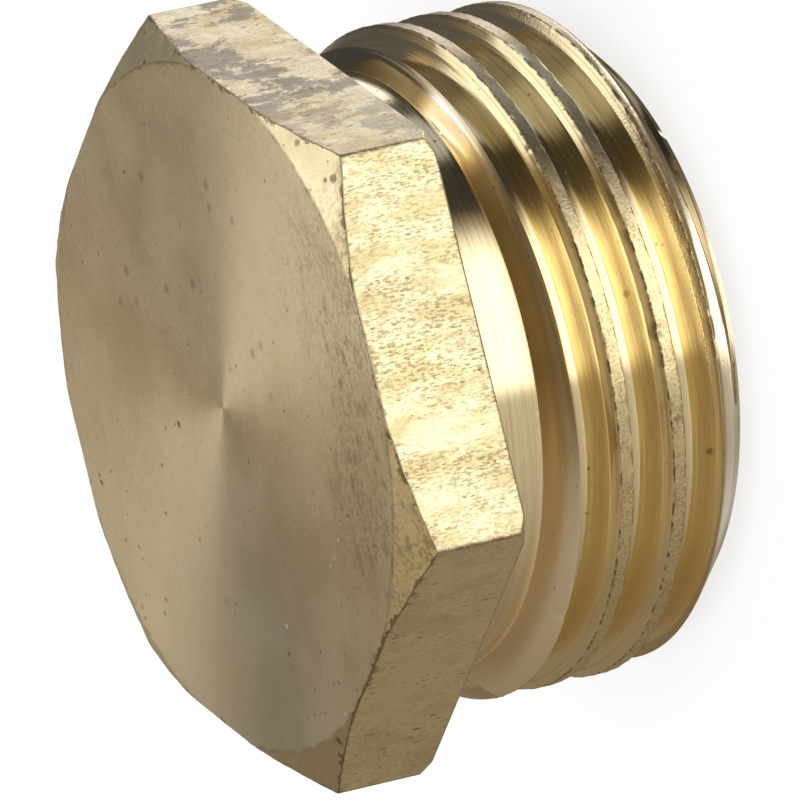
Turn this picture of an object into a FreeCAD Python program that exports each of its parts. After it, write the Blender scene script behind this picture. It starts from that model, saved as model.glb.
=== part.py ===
# Brass pipe plug, turned in one piece from hexagon bar: a hexagon head over a parallel pipe thread.
# The origin is the middle of the face at the thread's end, and +Z runs along the axis to the head.
# Two corners of the hexagon lie on the X axis, so two of its flats face -Y and +Y.
import FreeCAD, Part
import math
import os
import Sketcher

os.makedirs("parts", exist_ok=True)
doc = FreeCAD.newDocument("PipePlug")

# Every size that can be set by itself, in millimetres, degrees or plain ratios.
sizes = {
    # head
    "acrossFlats": 21.0,        # the bar, and the wrench that turns it
    "headHeight": 3.8,          # from the shoulder to the outer face
    "faceOverFlats": 0.24,      # the turned outer face is this much wider than the flats
    "headSlope": 24.5,          # the bevel round the outer face, measured from that face
    "backBreak": 0.3,           # the corners are broken by this much at the shoulder
    # shank
    "shankLength": 9.0,         # from the end face to the shoulder
    "nominalDia": 20.955,       # full diameter of the 1/2 inch pipe thread
    "turnedUnder": 0.205,       # the blank is turned this much under the full diameter
    "endBreak": 1.35,           # 45 degree bevel at the thread's end
    # thread, 14 turns to the inch with a 55 degree form
    "threadPitch": 1.814,
    "flankAngle": 27.5,         # each flank from the plane across the axis
    "depthRatio": 0.640327,     # depth of the full form over the pitch
    "rootRatio": 0.166667,      # flat that the tool leaves in the root, over the pitch
    "startTurn": 0.4,           # middle of the groove over the end face on the +X side, in pitches
    "runOut": 0.62,             # the groove's middle stops this many pitches under the shoulder
    "toolOver": 0.3,            # every cutter stands out past the bar by this much
    # undercut between the shoulder and the thread
    "neckUnder": 0.13,          # the neck's diameter under the thread's core
    "neckTurns": 1.136,         # length of the neck in pitches
    "neckRound": 0.25,          # radius in the corner under the head
    "wallLean": 23.0,           # steep wall at the foot of the neck, from the plane across the axis
    "coneRise": 0.43,           # the cone that ends the wall, measured on the radius
    "coneAngle": 36.0,          # that cone from the axis
}
sheet = doc.addObject("Spreadsheet::Sheet", "Sizes")
for row, (alias, value) in enumerate(sizes.items(), start=1):
    sheet.set("A%d" % row, alias)
    sheet.set("B%d" % row, str(value))
    sheet.setAlias("B%d" % row, alias)
doc.recompute()

# Radii and heights that follow from the sizes: each as a formula, and below as its value.
blank_radius = "(Sizes.nominalDia - Sizes.turnedUnder) / 2"
core_radius = "(Sizes.nominalDia / 2 - Sizes.depthRatio * Sizes.threadPitch)"
neck_radius = core_radius + " - Sizes.neckUnder / 2"
root_width = "Sizes.rootRatio * Sizes.threadPitch"
face_radius = "(Sizes.acrossFlats + Sizes.faceOverFlats) / 2"
corner_radius = "Sizes.acrossFlats / 2 / cos(30 deg)"
clear_radius = corner_radius + " + Sizes.toolOver"
top_height = "Sizes.shankLength + Sizes.headHeight"
start_height = "(Sizes.startTurn - 1) * Sizes.threadPitch"

blank = (sizes["nominalDia"] - sizes["turnedUnder"]) / 2
core = sizes["nominalDia"] / 2 - sizes["depthRatio"] * sizes["threadPitch"]
neck = core - sizes["neckUnder"] / 2
face = (sizes["acrossFlats"] + sizes["faceOverFlats"]) / 2
corner = sizes["acrossFlats"] / 2 / math.cos(math.radians(30))
clear = corner + sizes["toolOver"]
shoulder = sizes["shankLength"]
top = shoulder + sizes["headHeight"]
start = (sizes["startTurn"] - 1) * sizes["threadPitch"]

body = doc.addObject("PartDesign::Body", "Plug")
body.Label = "pipe_plug"
ORIGIN = (-1, 1)
X_AXIS = -1


def origin_plane(role):
    for feature in body.Origin.OriginFeatures:
        if feature.Role == role:
            return feature
    raise RuntimeError("no origin feature " + role)


def new_sketch(name, role):
    sketch = body.newObject("Sketcher::SketchObject", name)
    sketch.AttachmentSupport = (origin_plane(role), [""])
    sketch.MapMode = "FlatFace"
    return sketch


def line(sketch, start_point, end_point):
    first = FreeCAD.Vector(start_point[0], start_point[1], 0)
    last = FreeCAD.Vector(end_point[0], end_point[1], 0)
    return sketch.addGeometry(Part.LineSegment(first, last), False)


def arc(sketch, centre, radius, first, last):
    circle = Part.Circle(FreeCAD.Vector(centre[0], centre[1], 0), FreeCAD.Vector(0, 0, 1), radius)
    return sketch.addGeometry(Part.ArcOfCircle(circle, math.radians(first), math.radians(last)), False)


def hold(sketch, kind, *elements):
    sketch.addConstraint(Sketcher.Constraint(kind, *elements))


# a dimension with a name of its own that follows a formula
def drive(sketch, name, formula, kind, *elements):
    index = sketch.addConstraint(Sketcher.Constraint(kind, *elements))
    sketch.renameConstraint(index, name)
    sketch.setExpression("Constraints." + name, formula)


# Shank: half of its outline, turned about the axis. From the end face it goes up the 45 degree
# bevel and the thread's blank, in over a cone and a steep wall, and up the neck to the shoulder.
cone_foot = shoulder - sizes["neckTurns"] * sizes["threadPitch"]
wall_rise = blank - sizes["coneRise"] - neck
wall_foot = cone_foot - wall_rise * math.tan(math.radians(sizes["wallLean"]))
cone_end = wall_foot - sizes["coneRise"] / math.tan(math.radians(sizes["coneAngle"]))

outline = new_sketch("ShankOutline", "XZ_Plane")
end_face = line(outline, (0, 0), (blank - sizes["endBreak"], 0))
end_bevel = line(outline, (blank - sizes["endBreak"], 0), (blank, sizes["endBreak"]))
crest = line(outline, (blank, sizes["endBreak"]), (blank, cone_end))
cone = line(outline, (blank, cone_end), (blank - sizes["coneRise"], wall_foot))
wall = line(outline, (neck, cone_foot), (blank - sizes["coneRise"], wall_foot))
neck_side = line(outline, (neck, cone_foot), (neck, shoulder - sizes["neckRound"]))
neck_corner = arc(outline, (neck + sizes["neckRound"], shoulder - sizes["neckRound"]),
                  sizes["neckRound"], 90, 180)
seat = line(outline, (neck + sizes["neckRound"], shoulder), (0, shoulder))
axis_side = line(outline, (0, shoulder), (0, 0))

hold(outline, "Coincident", end_face, 1, *ORIGIN)
hold(outline, "Coincident", end_face, 2, end_bevel, 1)
hold(outline, "Coincident", end_bevel, 2, crest, 1)
hold(outline, "Coincident", crest, 2, cone, 1)
hold(outline, "Coincident", cone, 2, wall, 2)
hold(outline, "Coincident", wall, 1, neck_side, 1)
hold(outline, "Tangent", neck_side, 2, neck_corner, 2)
hold(outline, "Tangent", neck_corner, 1, seat, 1)
hold(outline, "Coincident", seat, 2, axis_side, 1)
hold(outline, "Coincident", axis_side, 2, *ORIGIN)
hold(outline, "Horizontal", end_face)
hold(outline, "Vertical", crest)
hold(outline, "Vertical", neck_side)
hold(outline, "Horizontal", seat)
hold(outline, "Vertical", axis_side)
drive(outline, "length", "Sizes.shankLength", "DistanceY", *ORIGIN, seat, 2, shoulder)
drive(outline, "blankRadius", blank_radius, "DistanceX", *ORIGIN, crest, 1, blank)
drive(outline, "bevelWidth", "Sizes.endBreak", "DistanceX", end_bevel, 1, end_bevel, 2, sizes["endBreak"])
drive(outline, "bevelHeight", "Sizes.endBreak", "DistanceY", end_bevel, 1, end_bevel, 2, sizes["endBreak"])
drive(outline, "coneRise", "Sizes.coneRise", "DistanceX", cone, 2, cone, 1, sizes["coneRise"])
drive(outline, "coneTurn", "90 deg + Sizes.coneAngle * 1 deg", "Angle", cone,
      math.radians(90 + sizes["coneAngle"]))
drive(outline, "wallTurn", "-Sizes.wallLean * 1 deg", "Angle", wall, math.radians(-sizes["wallLean"]))
drive(outline, "neckRadius", neck_radius, "DistanceX", *ORIGIN, neck_side, 1, neck)
drive(outline, "neckLength", "Sizes.neckTurns * Sizes.threadPitch", "DistanceY", neck_side, 1, seat, 1,
      shoulder - cone_foot)
drive(outline, "neckRound", "Sizes.neckRound", "Radius", neck_corner, sizes["neckRound"])

shank = body.newObject("PartDesign::Revolution", "Shank")
shank.Profile = outline
shank.ReferenceAxis = (outline, ["V_Axis"])
shank.Angle = 360
doc.recompute()

# Head: a slice of the hexagon bar, standing on the shoulder.
hexagon = new_sketch("HeadHexagon", "XY_Plane")
hexagon.setExpression(".AttachmentOffset.Base.z", "Sizes.shankLength * 1 mm")
corners = []
for step in range(6):
    turn = math.radians(60 * step)
    corners.append((corner * math.cos(turn), corner * math.sin(turn)))
sides = [line(hexagon, corners[i], corners[(i + 1) % 6]) for i in range(6)]
inner = hexagon.addGeometry(Part.Circle(
    FreeCAD.Vector(0, 0, 0), FreeCAD.Vector(0, 0, 1), sizes["acrossFlats"] / 2), True)
hold(hexagon, "Coincident", inner, 3, *ORIGIN)
for i in range(6):
    hold(hexagon, "Coincident", sides[i], 2, sides[(i + 1) % 6], 1)
    hold(hexagon, "Tangent", sides[i], inner)
for side in sides[1:]:
    hold(hexagon, "Equal", sides[0], side)
hold(hexagon, "PointOnObject", sides[0], 1, X_AXIS)
drive(hexagon, "acrossFlats", "Sizes.acrossFlats", "Diameter", inner, sizes["acrossFlats"])

head = body.newObject("PartDesign::Pad", "Head")
head.Profile = hexagon
head.Type = "Length"
head.setExpression("Length", "Sizes.headHeight")
doc.recompute()

# The head is turned too. Its bevel leaves a round outer face and a curve in the top of each flat,
# and the six corners are broken where they meet the shoulder.
drop = (clear - face) * math.tan(math.radians(sizes["headSlope"]))
lift = clear - corner + sizes["backBreak"]
bevels = new_sketch("HeadBevels", "XZ_Plane")
front = [line(bevels, (face, top), (clear, top - drop)),
         line(bevels, (clear, top - drop), (clear, top)),
         line(bevels, (clear, top), (face, top))]
back = [line(bevels, (corner - sizes["backBreak"], shoulder), (clear, shoulder)),
        line(bevels, (clear, shoulder), (clear, shoulder + lift)),
        line(bevels, (clear, shoulder + lift), (corner - sizes["backBreak"], shoulder))]
for ring in (front, back):
    for i in range(3):
        hold(bevels, "Coincident", ring[i], 2, ring[(i + 1) % 3], 1)
hold(bevels, "Vertical", front[1])
hold(bevels, "Horizontal", front[2])
hold(bevels, "Horizontal", back[0])
hold(bevels, "Vertical", back[1])
drive(bevels, "faceRadius", face_radius, "DistanceX", *ORIGIN, front[0], 1, face)
drive(bevels, "faceHeight", top_height, "DistanceY", *ORIGIN, front[0], 1, top)
drive(bevels, "frontTurn", "-Sizes.headSlope * 1 deg", "Angle", front[0], math.radians(-sizes["headSlope"]))
drive(bevels, "frontClear", clear_radius, "DistanceX", *ORIGIN, front[1], 1, clear)
drive(bevels, "backRadius", corner_radius + " - Sizes.backBreak", "DistanceX", *ORIGIN, back[0], 1,
      corner - sizes["backBreak"])
drive(bevels, "backHeight", "Sizes.shankLength", "DistanceY", *ORIGIN, back[0], 1, shoulder)
drive(bevels, "backClear", clear_radius, "DistanceX", *ORIGIN, back[1], 1, clear)
drive(bevels, "backTurn", "-135 deg", "Angle", back[2], math.radians(-135))

turned = body.newObject("PartDesign::Groove", "TurnedHead")
turned.Profile = bevels
turned.ReferenceAxis = (bevels, ["V_Axis"])
turned.Angle = 360
doc.recompute()

# Thread: one groove with straight flanks and a narrow flat root, cut along a right-hand helix. It
# starts in the air under the end face and runs out in the neck, so both end ridges are left thin.
flank = math.radians(sizes["flankAngle"])
half_root = sizes["rootRatio"] * sizes["threadPitch"] / 2
reach = blank + sizes["toolOver"]
wide = half_root + (reach - core) * math.tan(flank)

cutter = new_sketch("ThreadCutter", "XZ_Plane")
upper = line(cutter, (core, start + half_root), (reach, start + wide))
lower = line(cutter, (core, start - half_root), (reach, start - wide))
open_side = line(cutter, (reach, start + wide), (reach, start - wide))
root_side = line(cutter, (core, start + half_root), (core, start - half_root))
hold(cutter, "Coincident", upper, 1, root_side, 1)
hold(cutter, "Coincident", lower, 1, root_side, 2)
hold(cutter, "Coincident", upper, 2, open_side, 1)
hold(cutter, "Coincident", lower, 2, open_side, 2)
hold(cutter, "Vertical", open_side)
hold(cutter, "Vertical", root_side)
drive(cutter, "upperTurn", "Sizes.flankAngle * 1 deg", "Angle", upper, flank)
drive(cutter, "lowerTurn", "-Sizes.flankAngle * 1 deg", "Angle", lower, -flank)
drive(cutter, "rootWidth", root_width, "DistanceY", root_side, 2, root_side, 1, 2 * half_root)
drive(cutter, "coreRadius", core_radius, "DistanceX", *ORIGIN, root_side, 1, core)
drive(cutter, "startBelow", root_width + " / 2 - " + start_height, "DistanceY", root_side, 2, *ORIGIN,
      half_root - start)
drive(cutter, "reach", blank_radius + " + Sizes.toolOver", "DistanceX", *ORIGIN, open_side, 1, reach)

thread = body.newObject("PartDesign::SubtractiveHelix", "Thread")
thread.Profile = cutter
thread.ReferenceAxis = (cutter, ["V_Axis"])
thread.Mode = 0
thread.LeftHanded = False
thread.Reversed = False
thread.Angle = 0
thread.Growth = 0
thread.setExpression("Pitch", "Sizes.threadPitch")
thread.setExpression("Height", "Sizes.shankLength - Sizes.runOut * Sizes.threadPitch - " + start_height)
doc.recompute()

for thing in doc.Objects:
    if "Invalid" in thing.State or "Error" in thing.State:
        raise RuntimeError("%s is %s" % (thing.Label, thing.State))
if body.Shape.isNull() or not body.Shape.isValid() or len(body.Shape.Solids) != 1:
    raise RuntimeError(body.Label + " is not one valid solid")
body.Shape.exportStep("parts/%s.step" % body.Label)
print(body.Label, "volume", round(body.Shape.Volume, 2), "mm3")
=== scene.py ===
import bpy
import math
import numpy as np
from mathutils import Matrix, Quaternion, Vector


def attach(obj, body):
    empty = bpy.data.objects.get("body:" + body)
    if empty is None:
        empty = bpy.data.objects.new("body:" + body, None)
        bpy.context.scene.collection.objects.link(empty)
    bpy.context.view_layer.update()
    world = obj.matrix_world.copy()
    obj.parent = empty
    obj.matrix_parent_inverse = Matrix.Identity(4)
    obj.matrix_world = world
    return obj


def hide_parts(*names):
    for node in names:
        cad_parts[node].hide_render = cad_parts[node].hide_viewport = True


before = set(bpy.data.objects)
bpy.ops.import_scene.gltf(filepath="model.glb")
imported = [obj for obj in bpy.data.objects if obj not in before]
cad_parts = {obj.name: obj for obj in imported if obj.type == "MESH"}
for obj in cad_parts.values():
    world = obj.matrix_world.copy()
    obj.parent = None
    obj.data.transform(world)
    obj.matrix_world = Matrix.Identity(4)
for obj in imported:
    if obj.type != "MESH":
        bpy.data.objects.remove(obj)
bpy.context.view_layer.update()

# The plug's surface, in millimetres and degrees
plug = {
    "acrossFlats": 21.0,
    "top": 12.8,
    "shoulder": 9.0,
    "faceRadius": 10.62,
    "headSlope": 24.5,
    "backBreak": 0.3,
    "cornerRound": 0.10,      # the bar's six long edges
    "edgeBreak": 0.04,        # least bevel between two faces
    "edgeSoft": 0.05,         # how far the rounding of an edge reaches
    "blankRadius": 10.375,
    "coreRadius": 9.3159,
    "neckRadius": 9.2509,
    "neckRound": 0.25,
    "neckFoot": 6.9393,
    "wallFoot": 6.6443,
    "wallRadius": 9.945,
    "coneFoot": 6.0524,
    "endBreak": 1.35,
    "pitch": 1.814,
    "grooveStart": -1.0884,   # middle of the groove over +X
    "rootWidth": 0.3023,
    "flankAngle": 27.5,
    "facingRoot": 0.107,      # from the root's middle to the flank that faces the head
    "facingAngle": 25,
    "benchAngle": 50,         # slope of the strip that runs along the ridges' upper edge
    "wallSoft": 0.12,         # rounding between the wall and the cone
    "bevelSoft": 0.045,       # rounding between the blank and the bevel at its end
    "crestSoft": 0.012,       # rounding of the ridges' edges
    "rootSoft": 0.020,
    "benchSoft": 0.008,
    "crestEdge": 0.3873,      # from the middle of the groove to the ridge's edge, in pitches
    "benchFrom": 0.47,        # the same to the strip's inner edge, in millimetres
    "burrHeight": 0.030,      # what the cutter turned up along the ridges' edges
    "burrWidth": 0.030,
    "burrHills": ((140, 0.7, 3, 0.9), (330, 5, 4, 0.8)),   # (how many go round, per millimetre, seed, share)
    "burrFloor": 0.55,
    "crestDents": 0.020,
    "dentHills": (220, 6, 5),
    "dentFloor": 0.62,
    "nickHeight": 0.22,
    # waves of the head bevel's lower edge: (height, how many go round, row of the random hills, seed)
    "bevelRagged": ((0.03, 260, 3, 1), (0.02, 90, 0, 2)),
    "faceRings": (0.3, 1, 2.5, 4.5, 6.5, 8.2, 9.4, 10.1),
    "bevelSteps": (0.35, 0.65),           # shares of the way down the bevel, and down the flats
    "flatSteps": (0.06, 0.2, 0.4, 0.6, 0.8, 0.95),
    "neckRings": (8.2, 7.6, 7.15),
    "endRings": (0.985, 0.8, 0.5, 0.2),   # shares of the end face's radius
    "sideColumns": 103,
    "cornerColumns": (0.07, 0.15, 0.23, 0.30, 0.42, 0.62, 0.95, 1.4),
    "ridgeRows": (-0.5, -0.445, -0.408, -0.3873, -0.368, -0.33, -0.28, -0.2611, -0.245, -0.19, -0.12, -0.059,
                  0, 0.0833, 0.11, 0.17, 0.24, 0.31, 0.368, 0.3873, 0.408, 0.445),
    "keptRows": (0.059, 0.0833, 0.2611, 0.3873),   # these stay on the edges of root, strip and ridge
    "shankTurns": 5,
    "scanSteps": 1500,
    "rowReach": 0.12,         # how far a row may move to a meeting of ridge and blank
    # (angle, height, half width in degrees, depth)
    "nicks": ((-58.0, 0.0, 0.6, 0.12), (-96.0, 3.1, 1.2, 0.05), (-146.5, 6.15, 0.8, 0.05)),
    "sharpEdge": 22,
    "seed": 11,
}


def addObject(name, data):
    piece = bpy.data.objects.new(name, data)
    bpy.context.scene.collection.objects.link(piece)
    return piece


def columnAngles():
    near = np.array(plug["cornerColumns"])
    plain = np.linspace(near[-1], 60 - near[-1], plug["sideColumns"])
    sector = np.concatenate([[0], near[:-1], plain, 60 - near[:-1][::-1]])
    return np.radians(np.concatenate([sector + 60 * side for side in range(6)]))


# smooth random hills that close on themselves round the plug: waves is how many go round
def hills(angle, height, waves, perMillimetre, seed):
    source = np.random.default_rng(plug["seed"] + seed)
    rows = 64
    table = source.random((waves, rows))
    across = (angle / (2 * math.pi)) * waves
    up = np.clip(height, -1, 14) * perMillimetre + 8
    i, j = np.floor(across).astype(int), np.floor(up).astype(int)
    s, t = across - i, up - j
    s, t = s * s * (3 - 2 * s), t * t * (3 - 2 * t)
    at = lambda a, b: table[(i + a) % waves, (j + b) % rows]
    return (at(0, 0) * (1 - s) + at(1, 0) * s) * (1 - t) + (at(0, 1) * (1 - s) + at(1, 1) * s) * t


def barRadius(angle):
    half, soft = plug["acrossFlats"] / 2, plug["cornerRound"]
    fromCorner = (np.degrees(angle) + 30) % 60 - 30
    flat = half / np.cos(np.radians(30 - np.abs(fromCorner)))
    hub = (half - soft) / math.cos(math.radians(30))
    swing = np.radians(fromCorner)
    arc = hub * np.cos(swing) + np.sqrt(np.maximum(soft ** 2 - (hub * np.sin(swing)) ** 2, 0))
    reach = math.atan2(soft / 2, hub + soft * math.cos(math.radians(30)))
    return np.where(np.abs(swing) < reach, arc, flat)


# a rounded edge in the outline: four rows from one side of the corner to the other
def softEdge(before, corner, after):
    rows = []
    first, last = before - corner, after - corner
    a = np.linalg.norm(first, axis=1)
    b = np.linalg.norm(last, axis=1)
    first = first * (np.minimum(plug["edgeSoft"], 0.4 * a) / a)[:, None]
    last = last * (np.minimum(plug["edgeSoft"], 0.4 * b) / b)[:, None]
    for t in (0, 1 / 3, 2 / 3, 1):
        rows.append(corner + first * (1 - t) ** 2 + last * t ** 2)
    return rows


# the outline of the head and neck in every column, from the middle of the outer face to the neck's foot
def headRows(angle):
    size = len(angle)
    point = lambda r, z: np.column_stack([np.broadcast_to(r, size), np.broadcast_to(z, size)]).astype(float)
    bar = barRadius(angle)
    corner = plug["acrossFlats"] / 2 / math.cos(math.radians(30))
    faceEdge = np.minimum(plug["faceRadius"], bar - plug["edgeBreak"])
    ragged = 0
    for rise, waves, row, seed in plug["bevelRagged"]:
        ragged = ragged + rise * (hills(angle, angle * 0 + row, waves, 1, seed) - 0.5)
    slope = math.tan(math.radians(plug["headSlope"]))
    drop = np.maximum((bar - plug["faceRadius"]) * slope, plug["edgeBreak"])
    bevelFoot = plug["top"] - drop - np.maximum(ragged, -0.6 * plug["edgeBreak"])
    broken = np.maximum(bar - corner + plug["backBreak"], plug["edgeBreak"])
    middle = [point(radius, plug["top"]) for radius in plug["faceRings"]]
    inner = middle[-1]
    a, b = point(faceEdge, plug["top"]), point(bar, bevelFoot)
    c, d = point(bar, plug["shoulder"] + broken), point(bar - broken, plug["shoulder"])
    e = point(plug["neckRadius"] + plug["neckRound"], plug["shoulder"])
    between = lambda one, two, steps: [one + (two - one) * s for s in steps]
    rows, finish = [], []

    def add(more, name):
        rows.extend(more)
        finish.extend([name] * len(more))

    add(middle, "face")
    add(softEdge(inner, a, b)[:-1], "face")
    add(softEdge(inner, a, b)[-1:] + between(a, b, plug["bevelSteps"]), "bevel")
    add(softEdge(a, b, c)[:-1], "bevel")
    add(softEdge(a, b, c)[-1:] + between(b, c, plug["flatSteps"]), "flat")
    add(softEdge(b, c, d)[:-1], "flat")
    add(softEdge(b, c, d)[-1:] + softEdge(c, d, e)[:-1], "under")
    add(softEdge(c, d, e)[-1:] + between(d, e, (0.5,)), "under")
    for turn in (0, 30, 60, 90):
        swing = math.radians(turn)
        back, down = plug["neckRound"] * math.sin(swing), plug["neckRound"] * (1 - math.cos(swing))
        add([e + point(-back, -down)], "neck")
    add([point(plug["neckRadius"], z) for z in plug["neckRings"]], "neck")
    return rows, finish


def softLess(one, two, soft):
    return -soft * np.logaddexp(-one / soft, -two / soft)


def blankRadius(height):
    coneSlope = (plug["blankRadius"] - plug["wallRadius"]) / (plug["wallFoot"] - plug["coneFoot"])
    wallSlope = (plug["wallRadius"] - plug["neckRadius"]) / (plug["neckFoot"] - plug["wallFoot"])
    cone = plug["wallRadius"] + (plug["wallFoot"] - height) * coneSlope
    wall = plug["wallRadius"] + (plug["wallFoot"] - height) * wallSlope
    radius = np.minimum(softLess(cone, wall, plug["wallSoft"]), plug["blankRadius"])
    bevel = plug["blankRadius"] - plug["endBreak"] + height
    return softLess(np.maximum(radius, plug["neckRadius"]), bevel, plug["bevelSoft"])


# place across the groove at a point: 0 in the root's middle, half a pitch on the ridge's middle
def fromRoot(angle, height):
    turns = (height - plug["grooveStart"]) / plug["pitch"] - angle / (2 * math.pi)
    return (turns - np.round(turns)) * plug["pitch"]


def grooveRadius(angle, height):
    off, soft = fromRoot(angle, height), plug["rootSoft"]
    away = (off - plug["rootWidth"] / 2) / math.tan(math.radians(plug["flankAngle"]))
    facing = (-off - plug["facingRoot"]) / math.tan(math.radians(plug["facingAngle"]))
    radius = plug["coreRadius"] + soft * np.logaddexp(0, np.maximum(away, facing) / soft)
    edge = plug["pitch"] * plug["crestEdge"]
    bench = plug["blankRadius"] - (off + edge) * math.tan(math.radians(plug["benchAngle"]))
    return np.where(off < 0, softLess(radius, bench, plug["benchSoft"]), radius)


def shankRadius(angle, height):
    return softLess(grooveRadius(angle, height), blankRadius(height), plug["crestSoft"])


# burrs, dents and nicks that the thread's edges picked up
def shankWear(angle, height):
    across = np.abs(fromRoot(angle, height))
    edge = plug["pitch"] * plug["crestEdge"]
    full = blankRadius(height) > plug["blankRadius"] - 0.05
    onEdge = np.exp(-((across - edge) / plug["burrWidth"]) ** 2) * full
    onCrest = np.clip((across - edge + 0.02) / 0.05, 0, 1) * full
    burrs = sum(share * hills(angle, height, *shape) for *shape, share in plug["burrHills"])
    lift = plug["burrHeight"] * onEdge * (burrs - plug["burrFloor"])
    dents = hills(angle, height, *plug["dentHills"]) - plug["dentFloor"]
    dents = plug["crestDents"] * onCrest * np.clip(dents, 0, 1)
    change = lift - dents
    for turn, z, wide, deep in plug["nicks"]:
        side = (np.degrees(angle) - turn + 180) % 360 - 180
        change = change - deep * np.exp(-(side / wide) ** 2 - ((height - z) / plug["nickHeight"]) ** 2)
    return change


# Rows of the shank follow the thread, and the row nearest to each meeting of ridge and blank moves onto it
def shankHeights(angle):
    period = np.array(plug["ridgeRows"])
    steps = np.concatenate([period + turn for turn in range(plug["shankTurns"])])
    fixed = np.tile(np.isin(np.abs(period), plug["keptRows"]), plug["shankTurns"])
    foot = plug["neckFoot"]
    heights = plug["grooveStart"] + plug["pitch"] * (steps[None, :] + angle[:, None] / (2 * math.pi))
    heights = np.clip(heights, 0, foot)
    scan = np.linspace(0.02, foot - 0.02, plug["scanSteps"])
    for i, turn in enumerate(angle):
        gap = blankRadius(scan) - grooveRadius(turn, scan)
        meets = [scan[k] - gap[k] * (scan[k + 1] - scan[k]) / (gap[k + 1] - gap[k])
                 for k in np.nonzero(gap[:-1] * gap[1:] < 0)[0]]
        for height in (plug["endBreak"], plug["coneFoot"], plug["wallFoot"]):
            if blankRadius(height) < grooveRadius(turn, height):
                meets.append(height)
        free = ~fixed & (heights[i] > 0) & (heights[i] < foot)
        for height in meets:
            apart = np.where(free, np.abs(heights[i] - height), 9)
            j = int(apart.argmin())
            if apart[j] < plug["rowReach"]:
                heights[i, j] = height
                free[j] = False
    return np.sort(heights, axis=1), len(period)


def buildPlug():
    angle = columnAngles()
    columns = len(angle)
    rows, finish = headRows(angle)
    vertices, faces, kinds = [(0, 0, plug["top"])], [], []
    names = ("face", "bevel", "flat", "under", "neck", "thread", "end")
    kind = {name: index for index, name in enumerate(names)}

    def spin(radius, height):
        return np.column_stack([radius * np.cos(angle), radius * np.sin(angle),
                                np.broadcast_to(height, columns)])

    ring = lambda r: 1 + r * columns + np.arange(columns)
    for row in rows:
        vertices.extend(spin(row[:, 0], row[:, 1]))
    after = np.roll(np.arange(columns), -1)
    for i in range(columns):
        faces.append((0, ring(0)[i], ring(0)[after[i]]))
        kinds.append(kind["face"])
    for r in range(len(rows) - 1):
        upper, lower = ring(r), ring(r + 1)
        faces.extend(zip(upper, lower, lower[after], upper[after]))
        kinds.extend([kind[finish[r]]] * columns)
    print("head built", len(vertices), "points")

    # the shank between the neck's foot and the end face
    foot = plug["neckFoot"]
    heights, period = shankHeights(angle)
    inside = (heights > 0) & (heights < foot)
    footIds = len(vertices) + np.arange(columns)
    vertices.extend(spin(shankRadius(angle, foot), foot))
    endIds = len(vertices) + np.arange(columns)
    endRadius = shankRadius(angle, 0) + shankWear(angle, angle * 0)
    vertices.extend(spin(endRadius, 0))
    turns = np.broadcast_to(angle[:, None], heights.shape)
    radius = shankRadius(turns, heights) + shankWear(turns, heights)
    ids = np.where(heights >= foot, footIds[:, None], endIds[:, None])
    ids[inside] = len(vertices) + np.arange(inside.sum())
    vertices.extend(np.column_stack([(radius * np.cos(turns))[inside], (radius * np.sin(turns))[inside],
                                     heights[inside]]))
    wrapped = np.vstack([ids, np.concatenate([ids[0, period:], np.repeat(footIds[0], period)])])
    wrappedHeights = np.vstack([heights, np.concatenate([heights[0, period:], np.repeat(foot, period)])])
    wrappedAngle = np.concatenate([angle, [2 * math.pi]])
    upper = ring(len(rows) - 1)
    faces.extend(zip(upper, footIds, footIds[after], upper[after]))
    kinds.extend([kind["neck"]] * columns)

    # each four-sided cell is split along the diagonal that lies nearer to the true surface
    a, b = wrapped[:-1, :-1], wrapped[1:, :-1]
    d, c = wrapped[:-1, 1:], wrapped[1:, 1:]
    left, right = wrappedAngle[:-1, None], wrappedAngle[1:, None]
    middle = (left + right) / 2

    def strays(startHeight, endHeight):
        level = (startHeight + endHeight) / 2
        chord = (shankRadius(left, startHeight) + shankRadius(right, endHeight)) / 2
        return np.abs(chord - shankRadius(middle, level))

    low, high = wrappedHeights[:-1], wrappedHeights[1:]
    rising = strays(low[:, :-1], high[:, 1:]) <= strays(low[:, 1:], high[:, :-1])
    for p, q, r, s, up in zip(a.ravel(), b.ravel(), c.ravel(), d.ravel(), rising.ravel()):
        for tri in (((p, q, r), (p, r, s)) if up else ((p, q, s), (q, r, s))):
            if len(set(tri)) == 3:
                faces.append(tri)
                kinds.append(kind["thread"])
    # the flat end face, in rings
    before = endIds
    for share in plug["endRings"]:
        ids = len(vertices) + np.arange(columns)
        vertices.extend(spin(endRadius * share, 0))
        faces.extend(zip(before, ids, ids[after], before[after]))
        kinds.extend([kind["end"]] * columns)
        before = ids
    centre = len(vertices)
    vertices.append((0, 0, 0))
    for i in range(columns):
        faces.append((before[i], centre, before[after[i]]))
        kinds.append(kind["end"])

    points = np.array([tuple(vertex) for vertex in vertices]) / 1000
    corners = [tuple(int(corner) for corner in face) for face in faces]
    mesh = bpy.data.meshes.new("pipePlug")
    mesh.from_pydata([tuple(point) for point in points], [], corners)
    mesh.polygons.foreach_set("material_index", kinds)
    mesh.polygons.foreach_set("use_smooth", [True] * len(kinds))
    mesh.set_sharp_from_angle(angle=math.radians(plug["sharpEdge"]))
    mesh.update()
    piece = addObject("pipePlug", mesh)
    triangles = sum(len(face) - 2 for face in faces)
    print("plug built", triangles, "triangles, mended by Blender:", mesh.validate(verbose=False))
    return piece


# Small helpers for the node trees
def wire(tree, value, socket):
    if isinstance(value, bpy.types.NodeSocket):
        tree.links.new(value, socket)
    elif isinstance(value, (tuple, list)) and socket.type == "RGBA" and len(value) == 3:
        socket.default_value = (*value, 1)
    else:
        socket.default_value = value


def fill(tree, node, values):
    for label, value in values.items():
        wire(tree, value, node.inputs[label])
    return node.outputs


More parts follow.
